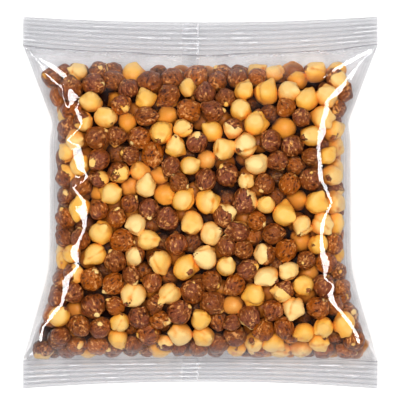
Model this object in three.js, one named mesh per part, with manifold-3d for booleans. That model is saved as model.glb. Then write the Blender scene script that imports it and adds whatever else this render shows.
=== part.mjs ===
// A pillow bag of clear film, filled with roasted chickpeas and sealed at both ends.
// It lies on its back: X runs across the bag, Y from the bottom seal to the top seal,
// Z up from the table. All sizes are in millimetres.
import * as THREE from 'three';
import { mergeGeometries, mergeVertices } from 'three/addons/utils/BufferGeometryUtils.js';
import Module from 'manifold-3d';

// The whole bag.
const BAG_WIDTH = 145;
const BAG_LENGTH = 152;
const BAG_HEIGHT = 38;
const WAIST_WIDTH = 122.4;      // where the contents pull the sides in
const SIDE_HEIGHT = 13;         // the sides' outermost line, above the table

// The flat seals. Ribs run across them, and each bows towards the contents in its middle.
const SEAL_HEIGHT = 8;          // above the table
const SEAL_WAVE = 0.7;
const SEAL_WAVE_LENGTH = 88;
const SEAL_WAVE_CREST = -14;
const SEAL_THICKNESS = 0.7;
const RIB_DEPTH = 0.7;
const SEAL_OVERLAP = 1.2;       // how far a seal reaches into the filled part
const SEAL_STEPS = 12;
const TOP_SEAL_DEPTH = 11.6;
const BOTTOM_SEAL_DEPTH = 11.3;
const TOP_SEAL = {
  outer: BAG_LENGTH / 2, inner: BAG_LENGTH / 2 - TOP_SEAL_DEPTH, outerBow: -2.3, innerBow: -4.1, ribs: 6,
};
const BOTTOM_SEAL = {
  outer: -BAG_LENGTH / 2, inner: BOTTOM_SEAL_DEPTH - BAG_LENGTH / 2, outerBow: 2.8, innerBow: 1.0, ribs: 5,
};

// The film's long back seam, folded flat: it runs down the underside through both seals.
const BACK_SEAM = { centre: -4, width: 6.6, thickness: 1.7, sealReach: 0.9, steps: 30 };

// The sides run straight from a seal's corners in to the waist.
const TOP_FLARE = 0.40;         // change of half width for each millimetre of length
const BOTTOM_FLARE = 0.305;
const WAIST_BLEND = 1.6;
const PINCH = { depth: 1.1, y: 32, spread: 4.5 };

// How the film rises from the sides and from the seals over the heaped contents.
const SIDE_FULLNESS = 5;        // a higher power keeps the top level nearer to the sides
const CORNER_FULLNESS = 1.7;    // the same beside a seal, where the bag is a flat lens
const BOTTOM_FULLNESS = 4.6;
const TOP_FULLNESS = 2.6;
const TOP_SLOPE_POWER = 0.78;
const UNDERSIDE_FULLNESS = 7;
const HIP_BLEND = 0.12;
const UNDERSIDE_GAP = 1.1;      // between the table and the film between two chickpeas
const BASE_BLEND = 9;           // from the seal's height to the sides' height

// The chickpeas under the tight film, on a triangular lattice of mesh points:
// every third point of every third row is the crown of one chickpea.
const COLUMNS = 42;
const ROWS = 51;
const CROWN_STEP = 3;
const DOME_REACH = 1.95;        // in mesh columns
const DOME_HEIGHT = 2.1;
const DOME_VARIATION = 0.45;
const DOME_SCATTER = 0.42;      // in mesh columns
const DOME_FADE = 2;            // the relief grows over this many columns or rows from an edge
const SCATTER_SEED = 7;
const ROW_KEY = 1000;           // keep the draws of different rows and sides apart
const SIDE_KEY = 500;

const FILM_COLOUR = 0xa8743f;   // the contents' colour through the film
const ROW_PITCH = Math.sqrt(3) / 2;

const lerp = THREE.MathUtils.lerp;
const smoothMax = (a, b, blend) => (a + b + Math.hypot(a - b, blend)) / 2;

function smoothMin(a, b, blend) {
  const near = Math.max(blend - Math.abs(a - b), 0);
  return Math.min(a, b) - (near > 0 ? near * near / (4 * blend) : 0);
}

// Height of a seal's middle plane across the bag.
function sealHeight(x) {
  return SEAL_HEIGHT + SEAL_WAVE * Math.cos(2 * Math.PI * (x - SEAL_WAVE_CREST) / SEAL_WAVE_LENGTH);
}

// Half the bag's width at a distance along its sides.
function halfWidth(y) {
  const flareTop = BAG_WIDTH / 2 - TOP_FLARE * (TOP_SEAL.inner - y);
  const flareBottom = BAG_WIDTH / 2 - BOTTOM_FLARE * (y - BOTTOM_SEAL.inner);
  const waist = smoothMax(WAIST_WIDTH / 2, smoothMax(flareTop, flareBottom, WAIST_BLEND), WAIST_BLEND);
  return waist - PINCH.depth * Math.exp(-(((y - PINCH.y) / PINCH.spread) ** 2));
}

// Rise of the film, from 0 at an edge to 1 over the full contents.
function rise(fraction, fullness, power = 0.5) {
  return Math.max(0, 1 - Math.abs(1 - fraction) ** fullness) ** power;
}

// A point of the film: across is -1 to 1 from side to side, y is the place along the sides.
function filmPoint(across, y, isTop) {
  const length = TOP_SEAL.inner - BOTTOM_SEAL.inner;
  const along = (y - BOTTOM_SEAL.inner) / length;
  const x = across * halfWidth(y);
  const bow = lerp(BOTTOM_SEAL.innerBow, TOP_SEAL.innerBow, along) * (1 - across * across);
  const toSeal = Math.min(along, 1 - along) * length;
  const base = lerp(SIDE_HEIGHT, sealHeight(x), Math.exp(-((toSeal / BASE_BLEND) ** 2)));

  const fromBottom = Math.min(1, 2 * along);
  const fromTop = Math.min(1, 2 * (1 - along));
  const fromSide = 1 - Math.abs(across);
  const fullness = isTop ? [SIDE_FULLNESS, BOTTOM_FULLNESS, TOP_FULLNESS] : Array(3).fill(UNDERSIDE_FULLNESS);
  const ends = Math.min(rise(fromBottom, fullness[1]), rise(fromTop, fullness[2], TOP_SLOPE_POWER));
  const sides = rise(fromSide, lerp(CORNER_FULLNESS, fullness[0], ends));
  const hipped = smoothMin(sides, ends, HIP_BLEND * ends) / (1 - HIP_BLEND / 4);
  const share = THREE.MathUtils.clamp(hipped, 0, 1);
  const level = isTop ? BAG_HEIGHT - DOME_HEIGHT : UNDERSIDE_GAP;
  return new THREE.Vector3(x, y + bow, lerp(base, level, share));
}

// One row of the film from side to side, at a fixed place along the sides.
class FilmRow extends THREE.Curve {
  constructor(y, isTop) {
    super();
    this.y = y;
    this.isTop = isTop;
    this.arcLengthDivisions = 400;
  }
  getPoint(t) {
    return filmPoint(-Math.cos(Math.PI * t), this.y, this.isTop);
  }
}

// The crest of the film from seal to seal, which spaces the rows evenly.
class FilmCrest extends THREE.Curve {
  getPoint(t) {
    return filmPoint(0, lerp(BOTTOM_SEAL.inner, TOP_SEAL.inner, (1 - Math.cos(Math.PI * t)) / 2), true);
  }
}

function rowPlaces() {
  const crest = new FilmCrest();
  return Array.from({ length: ROWS + 1 }, (_, row) => {
    const t = crest.getUtoTmapping(row / ROWS);
    return lerp(BOTTOM_SEAL.inner, TOP_SEAL.inner, (1 - Math.cos(Math.PI * t)) / 2);
  });
}

// Repeatable draws from 0 to 1, the same each time for the same crown.
function draws(column, row, side) {
  THREE.MathUtils.seededRandom(SCATTER_SEED + 2 * column + SIDE_KEY * side + ROW_KEY * row);
  return Array.from({ length: 3 }, () => THREE.MathUtils.seededRandom());
}

// The chickpea crowns around a lattice place, with each one's share, offset and height.
function crownsNear(place, side) {
  const crowns = [];
  const nearRow = Math.round(place.y / (CROWN_STEP * ROW_PITCH));
  for (let k = nearRow - 1; k <= nearRow + 1; k++) {
    const shift = k % 2 ? CROWN_STEP / 2 : 0;
    const nearColumn = Math.round((place.x - shift) / CROWN_STEP);
    for (let m = nearColumn - 1; m <= nearColumn + 1; m++) {
      const crown = new THREE.Vector2(m * CROWN_STEP + shift, k * CROWN_STEP * ROW_PITCH);
      const distance = crown.distanceTo(place);
      const [right, up, low] = draws(m, k, side);
      crowns.push({
        distance,
        share: Math.max(0, 1 - distance / CROWN_STEP),
        offset: new THREE.Vector2(right - 0.5, up - 0.5).multiplyScalar(2 * DOME_SCATTER),
        height: DOME_HEIGHT * (1 - DOME_VARIATION * low),
      });
    }
  }
  return crowns;
}

function scatterAt(place, side) {
  const crowns = crownsNear(place, side);
  const total = crowns.reduce((sum, crown) => sum + crown.share, 0);
  return crowns.reduce((sum, crown) => sum.addScaledVector(crown.offset, crown.share / total), new THREE.Vector2());
}

function domeAt(place, side) {
  const heights = crownsNear(place, side)
    .map((crown) => crown.height * (1 - (crown.distance / DOME_REACH) ** 2));
  return Math.max(0, ...heights);
}

// The columns of one row: odd rows are half a column over and have one point more.
function columnsOf(row) {
  const inner = Array.from({ length: COLUMNS }, (_, i) => i + (row % 2 ? 0.5 : 0));
  return row % 2 ? [0, ...inner, COLUMNS] : [...inner, COLUMNS];
}

// How far a lattice place lies inside the sheet's edge, in columns and rows.
const stepsInside = (column, row) => Math.min(column, COLUMNS - column, row, ROWS - row);

// The film at one lattice place, moved with the crowns around it but never off an edge.
function sheetPoint(column, row, places, isTop) {
  const keep = Math.min(1, stepsInside(column, row) / 2);
  const scatter = scatterAt(new THREE.Vector2(column, row * ROW_PITCH), isTop ? 0 : 1).multiplyScalar(keep);
  const movedRow = row + scatter.y / ROW_PITCH;
  const low = Math.min(Math.floor(movedRow), ROWS - 1);
  const y = lerp(places[low], places[low + 1], movedRow - low);
  return new FilmRow(y, isTop).getPointAt((column + scatter.x) / COLUMNS);
}

// The triangles between two rows of the lattice, from the even row's and the odd row's points.
function rowFaces(even, odd, oddIsUpper) {
  const faces = [];
  for (let i = 0; i <= COLUMNS; i++) faces.push([even[i], odd[i + 1], odd[i]]);
  for (let i = 0; i < COLUMNS; i++) faces.push([even[i], even[i + 1], odd[i + 1]]);
  return oddIsUpper ? faces : faces.map(([a, b, c]) => [a, c, b]);
}

// One side of the bag as a mesh on the lattice, each point with the height of its dome.
function filmSheet(isTop) {
  const places = rowPlaces();
  const positions = [];
  const domes = [];
  const rows = places.map((place, row) => columnsOf(row).map((column) => {
    positions.push(...sheetPoint(column, row, places, isTop).toArray());
    const height = domeAt(new THREE.Vector2(column, row * ROW_PITCH), isTop ? 0 : 1);
    domes.push(height * THREE.MathUtils.clamp((stepsInside(column, row) - 1) / DOME_FADE, 0, 1));
    return domes.length - 1;
  }));
  const faces = rows.slice(1).flatMap((upper, i) => {
    const lower = rows[i];
    return i % 2 ? rowFaces(upper, lower, false) : rowFaces(lower, upper, true);
  });
  const geometry = new THREE.BufferGeometry();
  geometry.setAttribute('position', new THREE.Float32BufferAttribute(positions, 3));
  geometry.setAttribute('dome', new THREE.Float32BufferAttribute(domes, 1));
  geometry.setIndex(faces.flatMap(([a, b, c]) => (isTop ? [a, b, c] : [a, c, b])));
  return geometry;
}

// Both sides joined, with the chickpeas pressed out against the film and the table's level kept.
function filledBody() {
  const geometry = mergeVertices(mergeGeometries([filmSheet(true), filmSheet(false)]), 1e-3);
  geometry.computeVertexNormals();
  const { position, normal, dome } = geometry.attributes;
  for (let i = 0; i < position.count; i++) {
    const relief = dome.getX(i);
    position.setXYZ(
      i,
      position.getX(i) + relief * normal.getX(i),
      position.getY(i) + relief * normal.getY(i),
      Math.max(0, position.getZ(i) + relief * normal.getZ(i)),
    );
  }
  return geometry;
}

// A seal: a ribbed strip, extruded straight across the bag and then bent to its bow and wave.
function sealStrip(seal) {
  const inwards = Math.sign(seal.inner - seal.outer);
  const depth = Math.abs(seal.inner - seal.outer) + SEAL_OVERLAP;
  const ribPitch = (depth - 2 * SEAL_OVERLAP) / seal.ribs;
  const ribLine = [new THREE.Vector2(0, 0)];
  for (let rib = 0; rib < seal.ribs; rib++) {
    ribLine.push(new THREE.Vector2((rib + 0.25) * ribPitch, RIB_DEPTH / 2));
    ribLine.push(new THREE.Vector2((rib + 0.75) * ribPitch, -RIB_DEPTH / 2));
  }
  ribLine.push(new THREE.Vector2(seal.ribs * ribPitch, 0), new THREE.Vector2(depth, 0));
  const half = new THREE.Vector2(0, SEAL_THICKNESS / 2);
  const outline = [
    ...ribLine.map((point) => point.clone().sub(half)),
    ...ribLine.map((point) => point.clone().add(half)).reverse(),
  ];
  const geometry = new THREE.ExtrudeGeometry(new THREE.Shape(outline), {
    depth: BAG_WIDTH, steps: SEAL_STEPS, bevelEnabled: false,
  });
  const { position } = geometry.attributes;
  for (let i = 0; i < position.count; i++) {
    const x = position.getZ(i) - BAG_WIDTH / 2;
    const fromOuter = position.getX(i);
    const middle = 1 - (2 * x / BAG_WIDTH) ** 2;
    const bow = lerp(seal.outerBow, seal.innerBow, fromOuter / depth) * middle;
    position.setXYZ(i, x, seal.outer + inwards * fromOuter + bow, sealHeight(x) + position.getY(i));
  }
  return geometry;
}

// The back seam's lower face at a distance along the bag's middle, from edge to edge.
function seamPoint(y) {
  const { centre, sealReach } = BACK_SEAM;
  const [from, to] = [BOTTOM_SEAL.inner, TOP_SEAL.inner];
  if (y > from && y < to) {
    const under = filmPoint(2 * centre / WAIST_WIDTH, y, false);
    return under.setZ(Math.max(0, under.z - UNDERSIDE_GAP));
  }
  const seal = y < 0 ? BOTTOM_SEAL : TOP_SEAL;
  const bow = THREE.MathUtils.mapLinear(y, seal.inner, seal.outer, seal.innerBow, seal.outerBow);
  return new THREE.Vector3(centre, y + bow, sealHeight(centre) - sealReach);
}

// The back seam: a flat strip along the underside, from the bottom edge to the top edge.
function backSeam() {
  const { centre, width, thickness, sealReach, steps } = BACK_SEAM;
  const shape = new THREE.Shape([
    new THREE.Vector2(-width / 2, 0), new THREE.Vector2(width / 2, 0),
    new THREE.Vector2(width / 2, 1), new THREE.Vector2(-width / 2, 1),
  ]);
  const geometry = new THREE.ExtrudeGeometry(shape, { depth: 1, steps, bevelEnabled: false });
  const { position } = geometry.attributes;
  for (let i = 0; i < position.count; i++) {
    const y = lerp(BOTTOM_SEAL.outer, TOP_SEAL.outer, position.getZ(i));
    const lower = seamPoint(y);
    const inSeal = y < BOTTOM_SEAL.inner || y > TOP_SEAL.inner;
    const reach = inSeal ? sealReach : thickness;
    position.setXYZ(i, centre + position.getX(i), lower.y, lower.z + reach * position.getY(i));
  }
  return geometry;
}

const wasm = await Module();
wasm.setup();

// A closed geometry as a solid, with its faces pointing out.
function solid(geometry) {
  const bare = geometry.clone();
  ['normal', 'uv', 'dome'].forEach((name) => bare.deleteAttribute(name));
  const merged = mergeVertices(bare, 1e-4);
  const positions = merged.attributes.position;
  const [a, b, c] = [new THREE.Vector3(), new THREE.Vector3(), new THREE.Vector3()];
  const corners = merged.index.array;
  let volume = 0;
  for (let i = 0; i < corners.length; i += 3) {
    [a, b, c].forEach((corner, j) => corner.fromBufferAttribute(positions, corners[i + j]));
    volume += a.dot(b.cross(c)) / 6;
  }
  const triVerts = Uint32Array.from(volume < 0 ? corners.toReversed() : corners);
  return new wasm.Manifold(new wasm.Mesh({ numProp: 3, vertProperties: positions.array, triVerts }));
}

function geometryOf(manifold) {
  const mesh = manifold.getMesh();
  const geometry = new THREE.BufferGeometry();
  geometry.setAttribute('position', new THREE.BufferAttribute(mesh.vertProperties, 3));
  geometry.setIndex(new THREE.BufferAttribute(mesh.triVerts, 1));
  geometry.computeVertexNormals();
  return geometry;
}

const joined = [sealStrip(TOP_SEAL), sealStrip(BOTTOM_SEAL), backSeam()]
  .reduce((whole, piece) => whole.add(solid(piece)), solid(filledBody()));

const bag = new THREE.Mesh(
  geometryOf(joined),
  new THREE.MeshStandardMaterial({ color: FILM_COLOUR, roughness: 0.3, metalness: 0 }),
);
bag.name = 'bag';

const part = new THREE.Group();
part.add(bag);

export default part;
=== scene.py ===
# %% [markdown]
# # A clear bag of roasted chickpeas
# The bag is a tube of thin clear film, sealed flat at both ends and packed tight. The CAD model
# holds only its closed outer form. This script replaces that form with the film itself and with
# the chickpeas inside it. Everything is in metres: X across the bag, Y towards the top seal, Z up.

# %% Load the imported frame
import math

import bmesh
import bpy
import numpy as np
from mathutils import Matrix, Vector
from mathutils.bvhtree import BVHTree


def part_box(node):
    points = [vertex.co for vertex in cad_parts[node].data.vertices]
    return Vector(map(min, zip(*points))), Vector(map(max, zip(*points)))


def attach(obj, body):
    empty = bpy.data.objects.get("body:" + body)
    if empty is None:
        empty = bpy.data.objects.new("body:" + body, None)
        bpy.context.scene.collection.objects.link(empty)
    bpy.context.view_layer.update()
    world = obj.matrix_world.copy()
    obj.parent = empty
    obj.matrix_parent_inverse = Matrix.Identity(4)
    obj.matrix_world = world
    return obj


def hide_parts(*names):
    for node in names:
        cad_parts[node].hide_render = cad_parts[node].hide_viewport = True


MM = 0.001
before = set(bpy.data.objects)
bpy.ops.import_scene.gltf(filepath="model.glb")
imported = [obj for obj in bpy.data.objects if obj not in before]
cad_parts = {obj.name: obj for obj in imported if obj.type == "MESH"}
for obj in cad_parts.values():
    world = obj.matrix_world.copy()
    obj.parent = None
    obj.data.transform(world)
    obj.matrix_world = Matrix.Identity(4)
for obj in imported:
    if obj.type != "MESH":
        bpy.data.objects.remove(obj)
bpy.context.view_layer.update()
bag_low, bag_high = (Vector(corner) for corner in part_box("bag"))
BAG_WIDTH, BAG_LENGTH, BAG_HEIGHT = (round(side, 3) for side in bag_high - bag_low)
print("bag", BAG_WIDTH, BAG_LENGTH, BAG_HEIGHT)

# %% [markdown]
# ## The camera
# The photo looks straight at the bag's front. Here the bag lies on its back, so the camera looks
# straight down. A long lens far away keeps the picture flat, as the photo's straight edges ask.
# The view is as wide as the photo at the height of the bag's seals and sides.

# %% Camera
VIEW_WIDTH, VIEW_MIDDLE = 163.4 * MM, (-0.1 * MM, 1.06 * MM)
VIEW_PLANE = 10 * MM
CAMERA_DISTANCE = 1.2

scene = bpy.context.scene
camera_data = bpy.data.cameras.new("photo_camera")
camera_data.lens = camera_data.sensor_width * CAMERA_DISTANCE / VIEW_WIDTH
camera = bpy.data.objects.new("photo_camera", camera_data)
camera.location = (*VIEW_MIDDLE, VIEW_PLANE + CAMERA_DISTANCE)
scene.collection.objects.link(camera)
scene.camera = camera
print("lens", round(camera_data.lens, 1), "mm")

# %% [markdown]
# ## The form of the filled bag
# The film is as wide as the bag at the seals, and the contents pull the sides in to a waist. From
# the sides and from both seals the film rises over the heap like a soft hipped roof. One function
# gives any point of the front or the back film, so the film, the chickpeas' room and the creases all
# come from the same few sizes, which are the CAD model's.

# %% The bag's outline from above: edges, the seals' inner lines, how they bow, and the waist
TOP_EDGE, TOP_LINE = BAG_LENGTH / 2, BAG_LENGTH / 2 - 11.6 * MM
BOTTOM_EDGE, BOTTOM_LINE = -BAG_LENGTH / 2, 11.3 * MM - BAG_LENGTH / 2
TOP_EDGE_BOW, TOP_LINE_BOW = -2.3 * MM, -4.1 * MM
BOTTOM_EDGE_BOW, BOTTOM_LINE_BOW = 2.8 * MM, 1.0 * MM
WAIST_WIDTH = 122.4 * MM
TOP_FLARE, BOTTOM_FLARE, WAIST_BLEND = 0.40, 0.305, 1.6 * MM
PINCH_DEPTH, PINCH_PLACE, PINCH_SPREAD = 1.1 * MM, 32 * MM, 4.5 * MM
print("between the seals", round((TOP_LINE - BOTTOM_LINE) / MM, 1), "mm")


def smooth_max(a, b, blend):
    """The larger of two values, rounded off where they cross."""
    return (a + b + np.hypot(a - b, blend)) / 2


def smooth_min(a, b, blend):
    """The smaller of two values, rounded off where they come nearer than the blend."""
    near = np.maximum(blend - np.abs(a - b), 0)
    return np.minimum(a, b) - near * near / (4 * np.maximum(blend, 1e-9))


def half_width(y):
    """Half the bag's width at a place along it: flared corners, a waist, and a small pinch in it."""
    flare_top = BAG_WIDTH / 2 - TOP_FLARE * (TOP_LINE - y)
    flare_bottom = BAG_WIDTH / 2 - BOTTOM_FLARE * (y - BOTTOM_LINE)
    flares = smooth_max(flare_top, flare_bottom, WAIST_BLEND)
    waist = smooth_max(WAIST_WIDTH / 2, flares, WAIST_BLEND)
    return waist - PINCH_DEPTH * np.exp(-(((y - PINCH_PLACE) / PINCH_SPREAD) ** 2))


print("width in the middle", round(2 * half_width(0.0) / MM, 1), "mm")

# %% The bag's form from the side: heights of its sides and seals, and how full it rises from them
SIDE_HEIGHT, BASE_BLEND = 13 * MM, 9 * MM
SEAL_HEIGHT, SEAL_WAVE = 8 * MM, 0.7 * MM
SEAL_WAVE_LENGTH, SEAL_WAVE_CREST = 88 * MM, -14 * MM
SIDE_FULLNESS, CORNER_FULLNESS, BOTTOM_FULLNESS, TOP_FULLNESS = 5, 1.7, 4.6, 2.6
UNDERSIDE_FULLNESS = 7
TOP_SLOPE_POWER = 0.78
HIP_BLEND = 0.12
UNDERSIDE_GAP, CROWN_RELIEF = 1.1 * MM, 2.1 * MM
print("front film at", round((BAG_HEIGHT - CROWN_RELIEF) / MM, 1), "mm")


def blend_of(start, end, share):
    return start + (end - start) * share


def seal_height(x):
    """The seals don't lie quite flat. They wave up and down across the bag."""
    return SEAL_HEIGHT + SEAL_WAVE * np.cos(2 * np.pi * (x - SEAL_WAVE_CREST) / SEAL_WAVE_LENGTH)


def rise(fraction, fullness, power=0.5):
    """A rise from 0 to 1, steep at first. More fullness levels it out sooner."""
    return np.maximum(0, 1 - np.abs(1 - fraction) ** fullness) ** power


def smooth_film(across, y, is_front):
    """The film at a share across the bag, -1 to 1, and at a place along its sides."""
    across, y = np.broadcast_arrays(across, y)
    along = (y - BOTTOM_LINE) / (TOP_LINE - BOTTOM_LINE)
    x = across * half_width(y)
    bow = blend_of(BOTTOM_LINE_BOW, TOP_LINE_BOW, along) * (1 - across ** 2)
    to_seal = np.minimum(along, 1 - along) * (TOP_LINE - BOTTOM_LINE)
    base = blend_of(SIDE_HEIGHT, seal_height(x), np.exp(-((to_seal / BASE_BLEND) ** 2)))
    front_fullness = (SIDE_FULLNESS, BOTTOM_FULLNESS, TOP_FULLNESS)
    at_sides, at_bottom, at_top = front_fullness if is_front else (UNDERSIDE_FULLNESS,) * 3
    from_bottom = rise(np.minimum(1, 2 * along), at_bottom)
    from_top = rise(np.minimum(1, 2 * (1 - along)), at_top, TOP_SLOPE_POWER)
    ends = np.minimum(from_bottom, from_top)
    sides = rise(1 - np.abs(across), blend_of(CORNER_FULLNESS, at_sides, ends))
    share = np.clip(smooth_min(sides, ends, HIP_BLEND * ends) / (1 - HIP_BLEND / 4), 0, 1)
    level = BAG_HEIGHT - CROWN_RELIEF if is_front else UNDERSIDE_GAP
    return np.stack([x, y + bow, blend_of(base, level, share)], axis=-1)


# %% [markdown]
# ## The creased shoulders
# Where the front turns down to the sides, the tight film doesn't run straight. It zigzags from one
# group of chickpeas to the next, and light from the side draws this shoulder line as one bright
# streak. Its kinks are read from the photo, and the smooth form is pushed sideways until its
# shoulder runs through them. Where the streak is wide, the shoulder is flattened by a shallow
# groove, and where it is narrow, it is sharpened by a low ridge.

# %% Shoulder lines: place along the bag, place out from its middle, width of the streak, in millimetres
LEFT_SHOULDER = [
    (63.6, 70.8, 0.4), (58.0, 66.4, 1.0), (53.0, 61.6, 1.2), (49.3, 57.8, 0.6), (44.5, 52.2, 0.9),
    (41.5, 51.4, 1.0), (38.2, 49.4, 0.8), (34.6, 48.0, 1.2), (32.1, 47.3, 0.5), (26.0, 53.4, 0.5),
    (23.1, 49.6, 4.6), (20.0, 48.4, 3.2), (12.9, 46.9, 1.0), (10.9, 44.8, 0.6), (6.8, 51.1, 0.5),
    (0.4, 46.3, 1.1), (-4.2, 46.3, 1.5), (-9.6, 46.1, 0.8), (-15.7, 48.9, 1.0), (-19.4, 50.9, 4.0),
    (-25.1, 48.8, 0.6), (-30.5, 54.6, 4.2), (-34.0, 54.5, 3.0), (-40.2, 55.2, 0.6), (-42.4, 57.7, 3.6),
    (-50.4, 63.4, 0.5), (-58.2, 66.7, 1.2), (-63.9, 72.0, 0.4),
]
RIGHT_SHOULDER = [
    (63.2, 71.8, 0.4), (57.2, 65.3, 1.2), (51.7, 60.0, 2.2), (46.4, 56.5, 2.0), (44.4, 54.9, 2.2),
    (41.9, 50.5, 0.5), (36.6, 50.5, 1.8), (34.2, 48.9, 0.9), (30.5, 49.2, 2.3), (23.5, 47.1, 0.8),
    (10.9, 48.2, 1.4), (2.7, 51.9, 1.0), (0.4, 52.6, 0.6), (-7.9, 49.0, 1.3), (-13.2, 48.2, 0.8),
    (-19.0, 48.7, 1.4), (-23.4, 50.2, 3.0), (-29.8, 49.8, 0.6), (-33.0, 53.6, 0.5), (-37.5, 52.2, 2.2),
    (-41.0, 54.2, 2.4), (-48.8, 60.8, 2.2), (-57.4, 65.6, 1.2), (-63.5, 70.6, 0.4),
]
print("kinks", len(LEFT_SHOULDER), "left,", len(RIGHT_SHOULDER), "right")

# %% Where the smooth film has its shoulder
SHOULDER_SLOPE = 0.47
PROFILE_POINTS, PROFILE_END = 400, 0.995
SHOULDER_PLACES, SHOULDER_MARGIN = 260, 0.5 * MM


def natural_shoulder(y):
    """How far out the smooth film reaches the shoulder's slope, and how fast it bends there."""
    profile = smooth_film(np.linspace(0, PROFILE_END, PROFILE_POINTS)[:, None], y[None], True)
    x = profile[..., 0]
    slope = -np.gradient(profile[..., 2], axis=0) / np.gradient(x, axis=0)
    bend = np.gradient(slope, axis=0) / np.gradient(x, axis=0)
    first = np.argmax(slope > SHOULDER_SLOPE, axis=0)
    columns = np.arange(len(y))
    return np.where(first > 0, x[first, columns], np.nan), bend[first, columns]


shoulder_y = np.linspace(BOTTOM_LINE + SHOULDER_MARGIN, TOP_LINE - SHOULDER_MARGIN, SHOULDER_PLACES)
shoulder_x, shoulder_bend = natural_shoulder(shoulder_y)
has_shoulder = np.isfinite(shoulder_x)
shoulder_y, shoulder_x, shoulder_bend = (
    values[has_shoulder] for values in (shoulder_y, shoulder_x, shoulder_bend))
print("shoulder from", shoulder_y[0].round(4), "to", shoulder_y[-1].round(4))

# %% Pushing the film to the shoulder line
SLOPE_OF_STREAK = 0.15
SHOULDER_REACH = 24 * MM
LEAST_SPREAD, SPREAD_OF_WIDTH = 1.2 * MM, 1.4
GROOVE_LIMIT = 1.3 * MM
CORNER_Y = 52 * MM
SEAL_FADE, CORNER_FADE, SIDE_FADE = 2 * MM, 4 * MM, 5 * MM
LEAST_ROOM = 0.1 * MM


def shoulder_shift(x, y, line):
    """How far the film moves outwards and upwards at a place, to follow a shoulder line."""
    kinks = np.array(sorted(line)) * MM
    wanted = np.interp(y, kinks[:, 0], kinks[:, 1])
    width = np.interp(y, kinks[:, 0], kinks[:, 2])
    natural = np.interp(y, shoulder_y, shoulder_x)
    bend = np.interp(y, shoulder_y, shoulder_bend)
    edge = half_width(y)
    inner = (x - natural + SHOULDER_REACH) / SHOULDER_REACH
    outer = (edge - x) / np.maximum(edge - natural, LEAST_ROOM)
    share = np.clip(np.minimum(inner, outer), 0, 1)
    in_range = np.clip(np.minimum(TOP_LINE - y, y - BOTTOM_LINE) / SEAL_FADE, 0, 1)
    outwards = (wanted - natural) * (1 - np.cos(np.pi * share)) / 2 * in_range
    spread = LEAST_SPREAD + SPREAD_OF_WIDTH * width
    ridge = (SLOPE_OF_STREAK / width - bend) * spread ** 2 / 2
    fade = np.clip((CORNER_Y - np.abs(y)) / CORNER_FADE, 0, 1) * np.clip((edge - x) / SIDE_FADE, 0, 1)
    away = x + outwards - wanted
    upwards = np.clip(ridge, -GROOVE_LIMIT, GROOVE_LIMIT) * np.exp(-((away / spread) ** 2)) * fade
    return outwards, upwards


# %% [markdown]
# ## A taut fold and flat facets
# Towards the upper corners the film is pulled straight. From the right one a taut fold runs in, a
# low ridge that fades at both ends. The broadest gleams need film that is flat, because a flat place
# mirrors the lamp all over. So narrow planes cut the form there, each tilted until it sends the
# light of the side lamp up to the camera.

# %% The fold from the upper right corner
FOLD_START, FOLD_END = np.array([72.0, 63.8]) * MM, np.array([49.0, 50.8]) * MM
FOLD_START_HEIGHT, FOLD_END_HEIGHT, FOLD_WIDTH = 3.0 * MM, 2.4 * MM, 1.9 * MM
FOLD_RISE, FOLD_FALL = 8, 5


def with_fold(points):
    """Raise the fold's ridge. It rises in the first eighth of its length and falls in the last fifth."""
    run = FOLD_END - FOLD_START
    length = np.hypot(*run)
    from_start = points[..., :2] - FOLD_START
    along = from_start @ run / length ** 2
    away = from_start @ np.array([-run[1], run[0]]) / length
    taper = np.clip(FOLD_RISE * along, 0, 1) * np.clip(FOLD_FALL * (1 - along), 0, 1)
    height = blend_of(FOLD_START_HEIGHT, FOLD_END_HEIGHT, along) * taper
    points[..., 2] += height * np.exp(-((away / FOLD_WIDTH) ** 2))


print("fold", round(np.hypot(*(FOLD_END - FOLD_START)) / MM, 1), "mm long")

# %% Facets on the shoulders, in millimetres
FACETS = [
    dict(start=(-67.5, 60.9), end=(-54.6, 50.6), width=2.1, height=14.5, slopes=(-0.464, 0.348)),
    dict(start=(-51.9, 44.2), end=(-51.5, 41.8), width=4.6, height=27.9, slopes=(-0.47, 0.10)),
    dict(start=(70.5, 63.2), end=(51.0, 52.3), width=2.6, height=13.1, slopes=(0.47, 0.29)),
]
FACET_RISE, FACET_BLEND = 1.2, 0.4 * MM
print("facets", len(FACETS))


def with_facets(points, lift=0.0):
    """Cut the film with narrow planes, each along a line. Beyond its width a plane rises steeply."""
    for facet in FACETS:
        start, end = np.array(facet["start"]) * MM, np.array(facet["end"]) * MM
        from_start = points[..., :2] - start
        share = np.clip(from_start @ (end - start) / np.sum((end - start) ** 2), 0, 1)
        from_line = np.linalg.norm(from_start - share[..., None] * (end - start), axis=-1)
        beyond = np.maximum(from_line - facet["width"] * MM / 2, 0)
        plane = facet["height"] * MM + lift - from_start @ np.array(facet["slopes"]) + FACET_RISE * beyond
        points[..., 2] = smooth_min(points[..., 2], plane, FACET_BLEND)


def film_point(across, y, is_front):
    """The film with its shoulders, fold and facets. Only the front has them."""
    points = smooth_film(across, y, is_front)
    if not is_front:
        return points
    x, y = points[..., 0].copy(), np.broadcast_to(y, points.shape[:-1])
    left_out, left_up = shoulder_shift(-x, y, LEFT_SHOULDER)
    right_out, right_up = shoulder_shift(x, y, RIGHT_SHOULDER)
    points[..., 0] += np.where(x < 0, -left_out, right_out)
    points[..., 2] += np.where(x < 0, left_up, right_up)
    with_fold(points)
    with_facets(points)
    return points


# %% [markdown]
# ## Laying out the film's grid
# Each side of the bag is one sheet from the bottom edge to the top edge. Its rows lie closer together
# in the seals, where they must follow the ribs. Between the seals, rows and columns are spaced
# evenly along the curved film, so that no face is stretched where the film is steep. Near the
# shoulders the columns lie closer, because the streaks there show every kink.

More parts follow.
